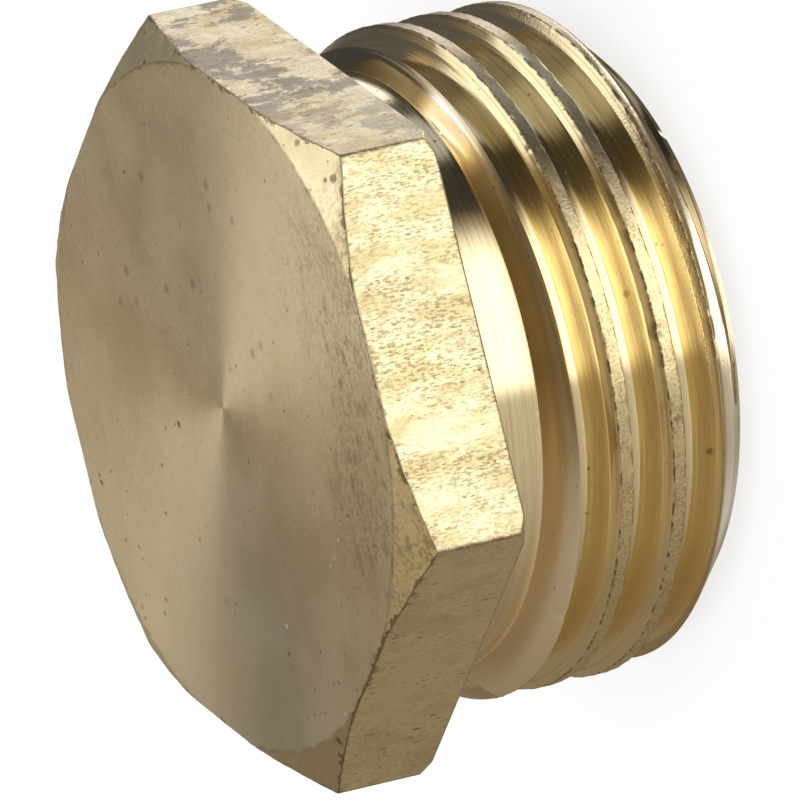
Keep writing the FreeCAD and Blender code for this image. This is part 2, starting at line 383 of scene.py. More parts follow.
def calc(tree, operation, *values):
    node = tree.nodes.new("ShaderNodeMath")
    node.operation = operation
    for value, socket in zip(values, node.inputs):
        wire(tree, value, socket)
    return node.outputs[0]


def times(tree, first, second):
    return calc(tree, "MULTIPLY", first, second)


def plus(tree, first, second):
    return calc(tree, "ADD", first, second)


def minus(tree, first, second):
    return calc(tree, "SUBTRACT", first, second)


def larger(tree, first, second):
    return calc(tree, "MAXIMUM", first, second)


def vector(tree, operation, *values):
    node = tree.nodes.new("ShaderNodeVectorMath")
    node.operation = operation
    for value, socket in zip(values, node.inputs):
        wire(tree, value, socket)
    return node.outputs["Value" if operation in ("DOT_PRODUCT", "LENGTH") else "Vector"]


def join(tree, x, y, z):
    node = tree.nodes.new("ShaderNodeCombineXYZ")
    for value, socket in zip((x, y, z), node.inputs):
        wire(tree, value, socket)
    return node.outputs[0]


def split(tree, value):
    node = tree.nodes.new("ShaderNodeSeparateXYZ")
    wire(tree, value, node.inputs[0])
    return node.outputs


def ease(tree, value, low, high, start=0.0, end=1.0):
    node = tree.nodes.new("ShaderNodeMapRange")
    node.interpolation_type = "SMOOTHSTEP"
    for item, socket in zip((value, low, high, start, end), node.inputs):
        wire(tree, item, socket)
    return node.outputs[0]


# a mask that rises to level from start to full, and falls to nothing from fall to stop
def band(tree, value, start, full, fall, stop, level=1.0):
    return times(tree, ease(tree, value, start, full, 0.0, level), ease(tree, value, fall, stop, 1.0, 0.0))


def mixColour(tree, factor, first, second):
    node = tree.nodes.new("ShaderNodeMix")
    node.data_type = "RGBA"
    wire(tree, factor, node.inputs[0])
    wire(tree, first, node.inputs[6])
    wire(tree, second, node.inputs[7])
    return node.outputs[2]


def noise(tree, place, scale, detail=2.0, rough=0.5, output="Fac"):
    node = tree.nodes.new("ShaderNodeTexNoise")
    return fill(tree, node, {"Vector": place, "Scale": scale, "Detail": detail, "Roughness": rough})[output]


# a colour with three parts, made lighter or darker
def scaled(colour, share):
    return tuple(share * part for part in colour)


# inputs are given with their values: three numbers make a vector, four a colour
def newGroup(name, inputs, outputs):
    group = bpy.data.node_groups.new(name, "ShaderNodeTree")
    for label, value in inputs.items():
        kind = {3: "Vector", 4: "Color"}[len(value)] if isinstance(value, tuple) else "Float"
        socket = group.interface.new_socket(label, in_out="INPUT", socket_type="NodeSocket" + kind)
        socket.default_value = value
    for label in outputs:
        kind = {"Point": "Vector", "Color": "Color"}.get(label, "Float")
        group.interface.new_socket(label, in_out="OUTPUT", socket_type="NodeSocket" + kind)
    return group, group.nodes.new("NodeGroupInput").outputs, group.nodes.new("NodeGroupOutput").inputs


def useGroup(tree, group, **values):
    node = tree.nodes.new("ShaderNodeGroup")
    node.node_tree = group
    return fill(tree, node, values)


# where a point of the plug lies: in millimetres, its radius, height and turn (-0.5 to 0.5, with 0 over +X)
def makePlugPlace():
    group, _, out = newGroup("plugPlace", {}, ("Point", "Radius", "Height", "Turn"))
    spot = group.nodes.new("ShaderNodeTexCoord").outputs["Object"]
    point = vector(group, "MULTIPLY", spot, (1000, 1000, 1000))
    x, y, z = split(group, point)
    wire(group, point, out["Point"])
    wire(group, vector(group, "LENGTH", join(group, x, y, 0.0)), out["Radius"])
    wire(group, z, out["Height"])
    wire(group, calc(group, "DIVIDE", calc(group, "ARCTAN2", y, x), 2 * math.pi), out["Turn"])
    return group


# place across the thread in millimetres, and masks of its crests, of the strip beside them and of their edges
def makeThreadPlace():
    group, inn, out = newGroup("threadPlace", {"Height": 0, "Turn": 0},
                               ("Across", "Crest", "Bench", "Edge"))
    rise = minus(group, inn["Height"], plug["grooveStart"])
    turns = minus(group, calc(group, "DIVIDE", rise, plug["pitch"]), inn["Turn"])
    part = minus(group, calc(group, "FRACT", plus(group, turns, 0.5)), 0.5)
    across = times(group, part, plug["pitch"])
    away = calc(group, "ABSOLUTE", across)
    edge = plug["pitch"] * plug["crestEdge"]
    low, high, soft = plug["endBreak"], plug["coneFoot"], 0.03
    onBlank = band(group, inn["Height"], low - soft, low + soft, high - soft, high + soft)
    wire(group, across, out["Across"])
    wire(group, times(group, ease(group, away, edge - 0.01, edge + 0.012), onBlank), out["Crest"])
    foot = plug["benchFrom"]
    below = times(group, across, -1.0)
    wire(group, band(group, below, foot - 0.02, foot + 0.02, edge - 0.02, edge), out["Bench"])
    close = calc(group, "ABSOLUTE", minus(group, away, edge))
    wire(group, times(group, ease(group, close, 0.0, 0.05, 1.0, 0.0), onBlank), out["Edge"])
    return group


# long fine lines: Vector is already stretched along them
def makeToolLines():
    inputs = {"Vector": (0, 0, 0), "Lines": 12, "Fine": 0.5}
    group, inn, out = newGroup("toolLines", inputs, ("Height", "Streak"))
    coarse = noise(group, inn["Vector"], inn["Lines"], 2.0, 0.6)
    fine = noise(group, inn["Vector"], times(group, inn["Lines"], 2.3), 2.0, 0.7)
    wire(group, plus(group, coarse, times(group, fine, inn["Fine"])), out["Height"])
    weaker = times(group, ease(group, fine, 0.54, 0.62), 0.8)
    wire(group, larger(group, ease(group, coarse, 0.54, 0.62), weaker), out["Streak"])
    return group


# round or drawn-out spots, one to a cell of the size 1/Density, in a share of the cells
def makePitSpots():
    inputs = {"Vector": (0, 0, 0), "Density": 2, "Share": 0.3, "Size": 0.25}
    group, inn, out = newGroup("pitSpots", inputs, ("Mask",))
    drift = noise(group, inn["Vector"], times(group, inn["Density"], 3.0), 1.0, 0.5, "Color")
    warp = vector(group, "MULTIPLY", drift, (0.08, 0.08, 0.08))
    cells = group.nodes.new("ShaderNodeTexVoronoi")
    found = fill(group, cells, {"Vector": vector(group, "ADD", inn["Vector"], warp),
                                "Scale": inn["Density"]})
    red, green, _ = split(group, found["Color"])
    size = times(group, inn["Size"], plus(group, green, 0.25))
    spot = ease(group, found["Distance"], times(group, size, 0.45), size, 1.0, 0.0)
    wire(group, times(group, spot, calc(group, "LESS_THAN", red, inn["Share"])), out["Mask"])
    return group


# slow change of colour over the metal
def makeTarnish():
    inputs = {"Vector": (0, 0, 0), "Scale": 0.3, "Clean": (1, 1, 1, 1), "Dull": (0.5, 0.5, 0.5, 1),
              "Amount": 0.5}
    group, inn, out = newGroup("tarnish", inputs, ("Color", "Mask"))
    slow = noise(group, inn["Vector"], inn["Scale"], 3.0, 0.55)
    mask = ease(group, slow, 0.38, 0.66)
    wire(group, mask, out["Mask"])
    colour = mixColour(group, times(group, mask, inn["Amount"]), inn["Clean"], inn["Dull"])
    wire(group, colour, out["Color"])
    return group


# distances in millimetres to the nearest flat, and on a flat from the bevel, the shoulder and the corner
def makeFlatPlace():
    inputs = {"Point": (0, 0, 0), "Radius": 0, "Height": 0}
    group, inn, out = newGroup("flatPlace", inputs, ("FromFlat", "FromBevel", "FromBack", "FromCorner"))
    half = plug["acrossFlats"] / 2
    reach = 0.0
    for side in (30, 90, 150):
        square = (math.cos(math.radians(side)), math.sin(math.radians(side)), 0)
        far = vector(group, "DOT_PRODUCT", inn["Point"], square)
        reach = larger(group, reach, calc(group, "ABSOLUTE", far))
    wire(group, minus(group, half, reach), out["FromFlat"])
    past = larger(group, minus(group, inn["Radius"], plug["faceRadius"]), 0.09)
    drop = times(group, past, math.tan(math.radians(plug["headSlope"])))
    wire(group, minus(group, minus(group, plug["top"], drop), inn["Height"]), out["FromBevel"])
    wire(group, minus(group, inn["Height"], plug["shoulder"]), out["FromBack"])
    beyond = minus(group, calc(group, "POWER", inn["Radius"], 2.0), half ** 2)
    along = calc(group, "SQRT", larger(group, beyond, 0.0))
    wire(group, minus(group, half * math.tan(math.radians(30)), along), out["FromCorner"])
    return group


# speckled grain, from 0 to 1, with a coarser patchiness that says where it is strong
def makeGrain():
    inputs = {"Vector": (0, 0, 0), "Scale": 10, "Patches": 0.4}
    group, inn, out = newGroup("grain", inputs, ("Height", "Mask"))
    fine = noise(group, inn["Vector"], inn["Scale"], 3.0, 0.65)
    patch = noise(group, inn["Vector"], inn["Patches"], 2.0, 0.5)
    wire(group, fine, out["Height"])
    mask = times(group, ease(group, fine, 0.45, 0.62), ease(group, patch, 0.3, 0.62, 0.3))
    wire(group, mask, out["Mask"])
    return group


# long thin scratches: two sets of stretched cells, crossing
def makeScratches():
    inputs = {"Vector": (0, 0, 0), "Density": 0.3, "Width": 0.02}
    group, inn, out = newGroup("scratches", inputs, ("Mask",))
    x, y, z = split(group, inn["Vector"])
    masks = []
    for turn, offset in ((0.35, 3.0), (-1.1, 17.0)):
        straight, slant = math.cos(turn), math.sin(turn)
        along = plus(group, times(group, x, straight), times(group, y, slant))
        across = minus(group, times(group, y, straight), times(group, x, slant))
        bent = plus(group, across, times(group, noise(group, inn["Vector"], 0.3), 0.8))
        place = join(group, times(group, along, 0.12), bent, plus(group, z, offset))
        cells = group.nodes.new("ShaderNodeTexVoronoi")
        found = fill(group, cells, {"Vector": place, "Scale": inn["Density"]})
        _, centre, _ = split(group, found["Position"])
        thin = calc(group, "ABSOLUTE", minus(group, centre, bent))
        red, _, _ = split(group, found["Color"])
        line = ease(group, thin, 0.0, inn["Width"], 1.0, 0.0)
        fade = ease(group, found["Distance"], 0.1, 0.45, 1.0, 0.0)
        masks.append(times(group, times(group, line, fade), calc(group, "LESS_THAN", red, 0.35)))
    wire(group, calc(group, "MAXIMUM", *masks), out["Mask"])
    return group


plugPlace, threadPlace, flatPlace = makePlugPlace(), makeThreadPlace(), makeFlatPlace()
toolLines, pitSpots, tarnish = makeToolLines(), makePitSpots(), makeTarnish()
grain, scratches = makeGrain(), makeScratches()
print("node groups ready")


def emptyMaterial(name):
    material = bpy.data.materials.new(name)
    material.use_nodes = True
    material.node_tree.nodes.clear()
    surface = material.node_tree.nodes.new("ShaderNodeOutputMaterial").inputs[0]
    return material, material.node_tree, surface


def newMaterial(name):
    material, tree, surface = emptyMaterial(name)
    shader = tree.nodes.new("ShaderNodeBsdfPrincipled")
    wire(tree, shader.outputs[0], surface)
    return material, tree, shader


def finishMetal(tree, shader, colour, rough, normal):
    fill(tree, shader, {"Base Color": colour, "Metallic": 1.0, "Roughness": rough, "Normal": normal})


def addBump(tree, height, distance, strength=1.0, normal=None):
    node = tree.nodes.new("ShaderNodeBump")
    fill(tree, node, {"Height": height, "Distance": distance, "Strength": strength})
    if normal is not None:
        wire(tree, normal, node.inputs["Normal"])
    return node.outputs[0]


# spots at chosen places: (angle, height, distance from the axis, size, softness, strength)
def addMarks(tree, point, marks):
    total = 0.0
    for angle, height, radius, size, soft, strength in marks:
        turn = math.radians(angle)
        spot = (radius * math.cos(turn), radius * math.sin(turn), height)
        away = vector(tree, "LENGTH", vector(tree, "SUBTRACT", point, spot))
        mask = ease(tree, away, size * (1 - soft), size * (1 + soft), strength, 0.0)
        total = larger(tree, total, mask)
    return total


# The turned outer face and the bevel round it
faceBrass = {
    "clean": (0.88, 0.73, 0.46),
    "dull": (0.66, 0.55, 0.34),
    "pit": (0.16, 0.125, 0.07),
    "roughness": 0.32,
    "anisotropic": 0.8,
    "anisotropicTurn": 0.25,
    "lineHeight": 0.0000012,       # bumps are in metres
    "pitDensity": 0.9,
    "pitShare": 0.25,
    "pitSize": 0.12,
    "pitDepth": 0.00002,
    "hairHeight": 0.000004,
    "grainHeight": 0.0000018,
    "grainColour": 0.4,
    "mottleNoise": (0.55, 4.0, 0.55),   # noises: scale, detail, roughness
    "edgeNoise": (2.6, 3.0, 0.6),
    "burrNoise": (1.5, 4.0, 0.7),
    "blotchNoise": (2.2, 4.0, 0.7),
    "lineScale": 7.0,
    "grainScale": 7.0,
    "cloudScale": 0.3,
    "mottle": 0.4,                 # share of the golden tint in its patches
    "ring": (9.1, -100, -45),      # a scratched arc painted as a bright highlight: radius and the angles it runs between
    # marks on the outer face: (angle, distance from the axis, size, softness, strength)
    "stains": ((165, 8.4, 6.0, 0.7, 0.42), (107, 8.5, 3.5, 0.8, 0.22), (-150, 9.0, 3.0, 0.8, 0.15)),
    "golden": (0.82, 0.655, 0.37),
    # colour of the painted highlights
    "glint": (1.0, 0.95, 0.8),
    "sideShade": 0.0,                    # painted shade: how much darker the metal is on the -X side
    "spots": (
        (13, 7.67, 0.16, 0.5, 0.4), (-21, 7.01, 0.16, 0.5, 0.45), (-22, 6.33, 0.14, 0.5, 0.5),
        (-35, 6.42, 0.14, 0.5, 0.4), (41, 6.55, 0.17, 0.5, 0.4), (25, 4.4, 0.15, 0.5, 0.45),
        (0, 3.88, 0.17, 0.5, 0.5), (52, 6.65, 0.14, 0.5, 0.35), (46, 5.71, 0.14, 0.5, 0.35),
        (-66, 3.16, 0.15, 0.5, 0.45), (-68, 3.83, 0.13, 0.5, 0.4), (-48, 1.55, 0.11, 0.5, 0.3),
        (-92, 3.41, 0.13, 0.5, 0.35), (-93, 8.22, 0.13, 0.4, 0.5), (152, 6.34, 0.15, 0.6, 0.3),
    ),
    "wornSide": (-130, -62),       # angles between which the outer part is blotched
    # painted highlights: small bright glints on the face
    "glints": (
        (-131, 7.4, 0.07, 0.4, 0.8), (-140, 7.2, 0.06, 0.4, 0.7), (-174, 6.9, 0.08, 0.4, 0.8),
        (-162, 10.4, 0.07, 0.4, 0.8), (-137, 7.3, 0.05, 0.4, 0.7),
    ),
}
bevelBrass = dict(
    faceBrass,
    clean=(0.97, 0.86, 0.56),
    dull=(0.86, 0.72, 0.42),
    golden=(0.90, 0.76, 0.44),
    pit=(0.18, 0.14, 0.08),
    anisotropic=0.2,
    lineHeight=0.000002,
    pitDensity=1.5,
    pitShare=0.5,
    pitSize=0.27,
    grainHeight=0.000006,
    grainColour=0.65,
    sideShade=0.55,
    spots=(),
    stains=(),
    wornSide=(-140, -70),
    glints=(),
)
# the head's underside: a darker copy of the face's brass, painted shade under the head
shadedUnderBrass = dict(faceBrass, clean=(0.72, 0.56, 0.32), dull=(0.50, 0.39, 0.22), lineHeight=0.000003)


def makeTurnedBrass(name, values):
    material, tree, shader = newMaterial(name)
    point, radius, height, turn = useGroup(tree, plugPlace)
    x, y, _ = split(tree, point)
    rings = join(tree, times(tree, x, 0.04), times(tree, y, 0.04), radius)
    lines = useGroup(tree, toolLines, Vector=rings, Lines=values["lineScale"], Fine=0.6)
    clouds = useGroup(tree, tarnish, Vector=point, Scale=values["cloudScale"], Clean=values["clean"],
                      Dull=values["dull"], Amount=0.6)
    edges = useGroup(tree, flatPlace, Point=point, Radius=radius, Height=height)
    speckle = useGroup(tree, grain, Vector=point, Scale=values["grainScale"], Patches=0.45)
    pits = useGroup(tree, pitSpots, Vector=point, Density=values["pitDensity"], Share=values["pitShare"],
                    Size=values["pitSize"])
    drops = useGroup(tree, pitSpots, Vector=point, Density=values["pitDensity"] * 3.1,
                     Share=values["pitShare"] * 0.8, Size=0.24)
    dark = larger(tree, times(tree, pits["Mask"], 0.75), times(tree, drops["Mask"], 0.5))
    hairs = useGroup(tree, scratches, Vector=point, Density=0.5, Width=0.02)
    edge = calc(tree, "ABSOLUTE", minus(tree, radius, plug["faceRadius"] - 0.03))
    ragged = ease(tree, noise(tree, point, *values["edgeNoise"]), 0.42, 0.6)
    rim = times(tree, ease(tree, edge, 0.02, 0.1, 0.35, 0.0), ragged)
    burrs = ease(tree, noise(tree, point, *values["burrNoise"]), 0.5, 0.7, 0.02, 0.28)
    burrs = ease(tree, calc(tree, "DIVIDE", edges["FromFlat"], burrs), 0.4, 1.0, 0.75, 0.0)
    rim = larger(tree, rim, burrs)
    onFace = lambda marks: addMarks(tree, point, [(angle, plug["top"], *rest) for angle, *rest in marks])
    mottle = noise(tree, join(tree, x, times(tree, y, 1.6), 0.0), *values["mottleNoise"])
    colour = mixColour(tree, ease(tree, mottle, 0.42, 0.64, 0.0, values["mottle"]), clouds["Color"],
                       values["golden"])
    colour = mixColour(tree, onFace(values["stains"]), colour, scaled(values["dull"], 0.5))
    # dark spots, and painted shade on the -X side
    shade = larger(tree, onFace(values["spots"]),
                   ease(tree, calc(tree, "ABSOLUTE", turn), 0.34, 0.42, 0.0, values["sideShade"]))
    colour = mixColour(tree, shade, colour, scaled(values["dull"], 0.45))
    first, last = (angle / 360 for angle in values["wornSide"])
    side = band(tree, turn, first - 0.04, first + 0.04, last - 0.04, last + 0.04)
    side = times(tree, side, ease(tree, radius, 5.5, 9.0))
    strokes = join(tree, times(tree, x, 0.45), y, 0.0)
    blotch = ease(tree, noise(tree, strokes, *values["blotchNoise"]), 0.5, 0.68, 0.0, 0.75)
    colour = mixColour(tree, times(tree, side, blotch), colour, scaled(values["dull"], 0.45))
    grains = times(tree, speckle["Mask"], times(tree, values["grainColour"], plus(tree, 0.45, side)))
    colour = mixColour(tree, grains, colour, scaled(values["dull"], 0.6))
    colour = mixColour(tree, larger(tree, dark, rim), colour, values["pit"])
    # painted highlights: a bright arc along a scratched ring and the glints, mixed in as a near-white colour
    ringRadius, *ends = values["ring"]
    start, stop = (angle / 360 for angle in ends)
    away = calc(tree, "ABSOLUTE", minus(tree, radius, ringRadius))
    arc = band(tree, turn, start, start + 0.03, stop - 0.03, stop)
    arc = times(tree, ease(tree, away, 0.008, 0.03, 0.5, 0.0), arc)
    arc = larger(tree, arc, onFace(values["glints"]))
    colour = mixColour(tree, arc, colour, values["glint"])
    around = tree.nodes.new("ShaderNodeTangent")
    around.direction_type = "RADIAL"
    around.axis = "Z"
    fill(tree, shader, {"Anisotropic": values["anisotropic"],
                        "Anisotropic Rotation": values["anisotropicTurn"], "Tangent": around.outputs[0]})
    rough = plus(tree, values["roughness"], times(tree, clouds["Mask"], 0.08))
    low = addBump(tree, lines["Height"], values["lineHeight"])
    low = addBump(tree, speckle["Height"], values["grainHeight"], 1.0, low)
    low = addBump(tree, hairs["Mask"], values["hairHeight"], 0.6, low)
    low = addBump(tree, times(tree, dark, -1.0), values["pitDepth"], 0.6, low)
    finishMetal(tree, shader, colour, rough, low)
    return material


# The flats of the drawn bar
flatBrass = {
    "clean": (0.86, 0.77, 0.50),
    "dull": (0.80, 0.65, 0.34),
    "golden": (0.36, 0.26, 0.10),
    "brown": (0.85, 0.71, 0.44),
    "grey": (0.27, 0.225, 0.16),
    "pit": (0.13, 0.10, 0.05),
    "roughness": 0.38,
    "draw": 0.3,              # how wide the drawn dashes are for their length
    "waveHeight": 0.00005,
    "grainHeight": 0.000009,
    "pitDepth": 0.00001,
    "grainScale": 19.0,
    "blotchNoise": (0.9, 6.0, 0.72),
    "broadNoise": (0.28, 1.0, 0.5),
    "waveNoise": (1.1, 5.0, 0.62),
    "clusterNoise": (0.4, 2.0, 0.6),
    "strokeNoise": (4.2, 2.0, 0.6),
    "edgeNoise": (2.6, 3.0, 0.6),
    "greyLeast": 0.15,        # how grey the patches are away from the flat that faces -30 degrees
    "greyMost": (0.3, 0.65),  # what is added on that flat, at its two ends
    "browned": 0.75,          # share of brown on the flat that faces -150 degrees
}


def makeFlatBrass(name, values):
    material, tree, shader = newMaterial(name)
    point, radius, height, turn = useGroup(tree, plugPlace)
    edges = useGroup(tree, flatPlace, Point=point, Radius=radius, Height=height)
    x, y, z = split(tree, point)
    drawn = join(tree, x, y, times(tree, z, values["draw"]))
    right = times(tree, ease(tree, turn, -0.17, -0.16), ease(tree, turn, 0.03, 0.2, 1.0, 0.45))
    left = ease(tree, turn, -0.34, -0.33, 1.0, 0.0)
    stain = useGroup(tree, tarnish, Vector=drawn, Scale=1.6, Clean=values["clean"], Dull=values["dull"],
                     Amount=0.9)
    metal = mixColour(tree, times(tree, left, values["browned"]), stain["Color"], values["brown"])
    speckle = useGroup(tree, grain, Vector=drawn, Scale=values["grainScale"], Patches=1.1)
    blotch = noise(tree, join(tree, x, y, times(tree, z, 0.6)), *values["blotchNoise"])
    broad = noise(tree, point, *values["broadNoise"])
    waves = noise(tree, point, *values["waveNoise"])
    ticks = useGroup(tree, pitSpots, Vector=drawn, Density=8.0, Share=0.4, Size=0.36)
    calm = larger(tree, times(tree, left, 0.55), times(tree, right, 0.5))
    grains = times(tree, speckle["Mask"], minus(tree, 0.9, calm))
    colour = mixColour(tree, grains, metal, values["golden"])
    more = ease(tree, turn, -0.135, -0.1, *values["greyMost"])
    amount = plus(tree, values["greyLeast"], times(tree, right, more))
    shade = plus(tree, blotch, times(tree, minus(tree, broad, 0.5), 0.5))
    grey = times(tree, ease(tree, shade, 0.49, 0.56), amount)
    colour = mixColour(tree, grey, colour, values["grey"])
    clusters = ease(tree, noise(tree, point, *values["clusterNoise"]), 0.42, 0.6)
    share = plus(tree, 0.15, times(tree, clusters, 0.65))
    dark = times(tree, ticks["Mask"], share)
    strokes = noise(tree, join(tree, x, y, times(tree, z, 0.12)), *values["strokeNoise"])
    reach = ease(tree, strokes, 0.5, 0.72, 0.03, 0.4)
    worn = ease(tree, calc(tree, "DIVIDE", edges["FromBevel"], reach), 0.3, 1.0, 0.6, 0.0)
    ragged = ease(tree, noise(tree, point, *values["edgeNoise"]), 0.35, 0.6, 0.3, 1.0)
    seam = times(tree, ease(tree, edges["FromCorner"], 0.03, 0.13, 0.7, 0.0), ragged)
    back = ease(tree, edges["FromBack"], 0.02, 0.11, 0.6, 0.0)
    dark = larger(tree, larger(tree, dark, seam), larger(tree, worn, back))
    colour = mixColour(tree, dark, colour, values["pit"])
    rough = plus(tree, values["roughness"], times(tree, stain["Mask"], 0.08))
    low = addBump(tree, waves, values["waveHeight"])
    low = addBump(tree, speckle["Height"], values["grainHeight"], 1.0, low)
    low = addBump(tree, times(tree, dark, -1.0), values["pitDepth"], 0.7, low)
    finishMetal(tree, shader, colour, rough, low)
    return material


# Neck and thread
threadBrass = {
    "clean": (0.93, 0.79, 0.48),
    "dull": (0.85, 0.68, 0.38),
    "crest": (0.78, 0.64, 0.36),
    "golden": (0.50, 0.37, 0.18),
    # painted shade: dark brown laid on the wall where it mirrors dark surroundings
    "darkWallShade": (0.35, 0.265, 0.14),
    # painted reflection: pale tan laid on the wall and cone between about -180 and -100 degrees
    "paleWallReflection": (0.98, 0.85, 0.62),
    # painted reflection: white laid on the wall where it mirrors the window light
    "whiteWallReflection": (1.0, 1.0, 1.0),
    # painted shade: dark olive laid on the wall and on the crests over some turns
    "oliveShade": (0.20, 0.18, 0.13),
    # painted shade: grey laid over the thread on its +X side
    "threadSideShade": (0.42, 0.38, 0.26),
    "burr": (0.13, 0.10, 0.06),
    "roughness": 0.13,
    "crestRoughness": 0.15,
    "lineHeight": 0.0000026,
    "grainHeight": 0.00001,
    "pitDepth": 0.00001,
    "edgeNoise": (3.2, 4.0, 0.7),
    "lineScale": 14.0,
    "stainScale": 5.5,
    "grainScale": 12.0,
    "streaks": (0.12, 0.38, 0.2),    # share of golden lines: lower side, elsewhere, and more on the strip
    # tints above the thread, all but the golden one painted reflections and shade: colour, strength, where,
    # and the turns between which it fades in and out again
    "tints": (
        # painted shade: dark brown on the wall
        ("darkWallShade", 0.95, "wall", (-0.34, -0.27, -0.17, -0.15)),
        # painted reflection: pale tan on the wall and cone
        ("paleWallReflection", 0.9, "slopes", (-0.6, -0.59, -0.34, -0.27)),
        # painted reflection: white on the wall
        ("whiteWallReflection", 0.95, "wall", (-0.16, -0.135, -0.118, -0.106)),
        ("golden", 0.7, "cone", (-0.17, -0.15, 0.6, 0.61)),
        # painted shade: dark olive on the wall
        ("oliveShade", 0.95, "wall", (-0.12, -0.1, 0.02, 0.1)),
    ),
    "dimCrest": (0.42, (-0.225, -0.2, -0.05, 0.05)),    # painted shade: how dark the crests are, and the turns
    # the larger spots: (angle, height, distance from the axis, size, softness, strength)
    "marks": (
        (-140, 3.65, 9.75, 0.13, 0.3, 0.95), (-88.5, 3.65, 9.75, 0.12, 0.5, 0.6),
        (-121.5, 2.36, 9.75, 0.13, 0.5, 0.7), (-122, 5.54, 9.75, 0.22, 0.6, 0.45),
        (-111, 2.9, 10.37, 0.10, 0.5, 0.6), (-96.5, 3.1, 10.37, 0.12, 0.5, 0.5),
    ),
}


def makeThreadBrass(name, values):
    material, tree, shader = newMaterial(name)
    point, radius, height, turn = useGroup(tree, plugPlace)
    thread = useGroup(tree, threadPlace, Height=height, Turn=turn)
    x, y, _ = split(tree, point)
    onThread = ease(tree, height, plug["wallFoot"] - 0.05, plug["wallFoot"], 1.0, 0.0)
    plain = times(tree, height, minus(tree, 1.0, onThread))
    across = plus(tree, times(tree, thread["Across"], onThread), plain)
    around = join(tree, times(tree, x, 0.01), times(tree, y, 0.01), across)
    lines = useGroup(tree, toolLines, Vector=around, Lines=values["lineScale"], Fine=0.6)
    stain = useGroup(tree, tarnish, Vector=around, Scale=values["stainScale"], Clean=values["clean"],
                     Dull=values["dull"], Amount=0.6)
    speckle = useGroup(tree, grain, Vector=point, Scale=values["grainScale"], Patches=0.8)
    least, most, extra = values["streaks"]
    share = ease(tree, turn, -0.4, -0.3, least, most)
    share = plus(tree, share, times(tree, thread["Bench"], extra))
    streaks = times(tree, lines["Streak"], share)
    colour = mixColour(tree, streaks, stain["Color"], values["golden"])
    cone, wall, neck = plug["coneFoot"], plug["wallFoot"], plug["neckFoot"]
    heights = {
        "wall": (wall - 0.42, wall + 0.05, neck - 0.02, neck + 0.01),
        "slopes": (cone - 0.1, cone + 0.1, neck, neck + 0.25),
        "cone": (cone, cone + 0.1, wall - 0.15, wall),
    }
    masks = {}
    # painted reflections and shade on the wall and cone, and a golden tint on the cone
    for tint, level, where, turns in values["tints"]:
        rise, side = band(tree, height, *heights[where]), band(tree, turn, *turns, level)
        masks[tint] = times(tree, rise, side)
        colour = mixColour(tree, masks[tint], colour, values[tint])
    # painted shade: a grey band over the thread on the +X side, on the turns near 0
    threadSideShade = ease(tree, calc(tree, "ABSOLUTE", plus(tree, turn, 0.02)), 0.04, 0.11, 0.45, 0.0)
    colour = mixColour(tree, threadSideShade, colour, values["threadSideShade"])
    crest = mixColour(tree, speckle["Mask"], values["crest"], values["golden"])
    # painted shade on the crests, over the turns in dimCrest
    level, turns = values["dimCrest"]
    crest = mixColour(tree, band(tree, turn, *turns, level), crest, values["oliveShade"])
    colour = mixColour(tree, thread["Crest"], colour, crest)
    ragged = ease(tree, noise(tree, point, *values["edgeNoise"]), 0.44, 0.6)
    dark = times(tree, thread["Edge"], ragged)
    dark = larger(tree, dark, addMarks(tree, point, values["marks"]))
    pits = useGroup(tree, pitSpots, Vector=point, Density=2.6, Share=0.3, Size=0.13)
    dark = larger(tree, dark, times(tree, pits["Mask"], 0.7))
    # golden stain in the end bevel's groove and along its upper edge
    inGroove = times(tree, ease(tree, height, 0.45, 0.6, 0.8, 0.0),
                     ease(tree, radius, 9.45, 9.55, 1.0, 0.0))
    under = band(tree, height, 0.95, 1.15, 1.27, 1.33, 0.6)
    colour = mixColour(tree, larger(tree, inGroove, under), colour, values["golden"])
    colour = mixColour(tree, dark, colour, values["burr"])
    rough = times(tree, thread["Crest"], values["crestRoughness"])
    rough = plus(tree, rough, times(tree, dark, 0.2))
    rough = plus(tree, rough, times(tree, larger(tree, masks["darkWallShade"], masks["paleWallReflection"]), 0.32))
    rough = plus(tree, rough, ease(tree, turn, -0.43, -0.34, 0.12, 0.0))
    rough = plus(tree, rough, values["roughness"])
    low = addBump(tree, lines["Height"], values["lineHeight"], ease(tree, turn, -0.4, -0.3, 0.35, 1.0))
    frayed = times(tree, thread["Bench"], ease(tree, height, 1.9, 2.3, 1.0, 0.0))
    coarse = times(tree, larger(tree, thread["Crest"], frayed), speckle["Height"])
    low = addBump(tree, coarse, values["grainHeight"], 1.0, low)
    low = addBump(tree, times(tree, dark, -1.0), values["pitDepth"], 0.5, low)
    finishMetal(tree, shader, colour, rough, low)
    return material


plugPiece = buildPlug()
faceFinish = makeTurnedBrass("turnedFace", faceBrass)
bevelFinish = makeTurnedBrass("turnedBevel", bevelBrass)
shadedUnderFinish = makeTurnedBrass("turnedUndersideShaded", shadedUnderBrass)
flatFinish = makeFlatBrass("drawnFlats", flatBrass)
threadFinish = makeThreadBrass("cutThread", threadBrass)
for finish in (faceFinish, bevelFinish, flatFinish, shadedUnderFinish, threadFinish, threadFinish, faceFinish):
    plugPiece.data.materials.append(finish)
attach(plugPiece, "root")
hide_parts("pipe_plug")
print("materials on the plug")

# Floor, world and lamps
studio = {
    "floor": (0.95, 0.95, 0.95),
    "world": 1.0,
    "key": 0.8,
    "lift": 0.75,             # share of plain white that the floor shows to the camera
    "keyAngle": 50,
    "keyTilt": (20, -15),
    "half": 3.0,              # metres from the floor's middle to its edge
    "height": -0.00005,       # just under the plug, so that its end face isn't in the same plane
}


